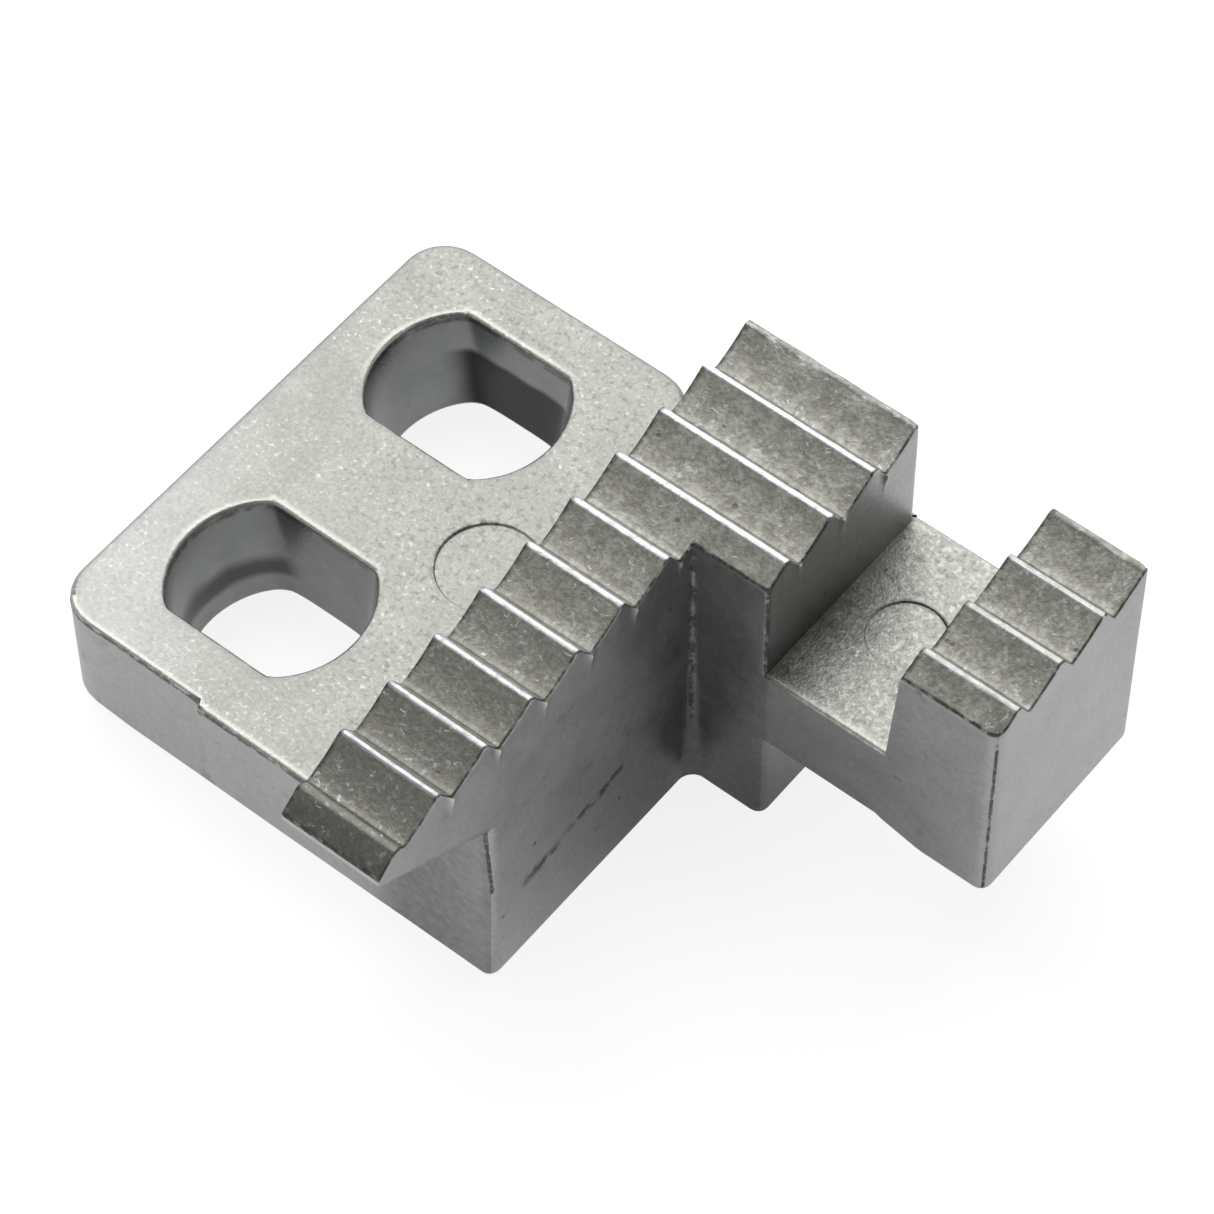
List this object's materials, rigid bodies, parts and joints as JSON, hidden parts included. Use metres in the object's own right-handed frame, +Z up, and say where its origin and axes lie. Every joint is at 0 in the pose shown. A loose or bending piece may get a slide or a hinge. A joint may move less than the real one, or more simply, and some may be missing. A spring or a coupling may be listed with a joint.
{
  "type": "feed dog",
  "caption": "one-piece steel feed dog for an overlock sewing machine: slotted mounting plate, long stepped row of saw teeth, and a short toothed block on a side arm",
  "frame": {"origin": "on the flat underside, midway between the centres of the two screw slots", "axes": "+Z up, teeth on top; +X from the mounting plate's outer edge across the rows to the side block; +Y along the teeth, from the overhanging front lip to the back"},
  "size_m": [0.0248, 0.0203, 0.0109],
  "materials": {
    "moulded_steel": "satin, fine-grained moulded steel, teeth a little darker"
  },
  "bodies": {
    "root": {"feed_dog": "moulded_steel"}
  },
  "joints": []
}
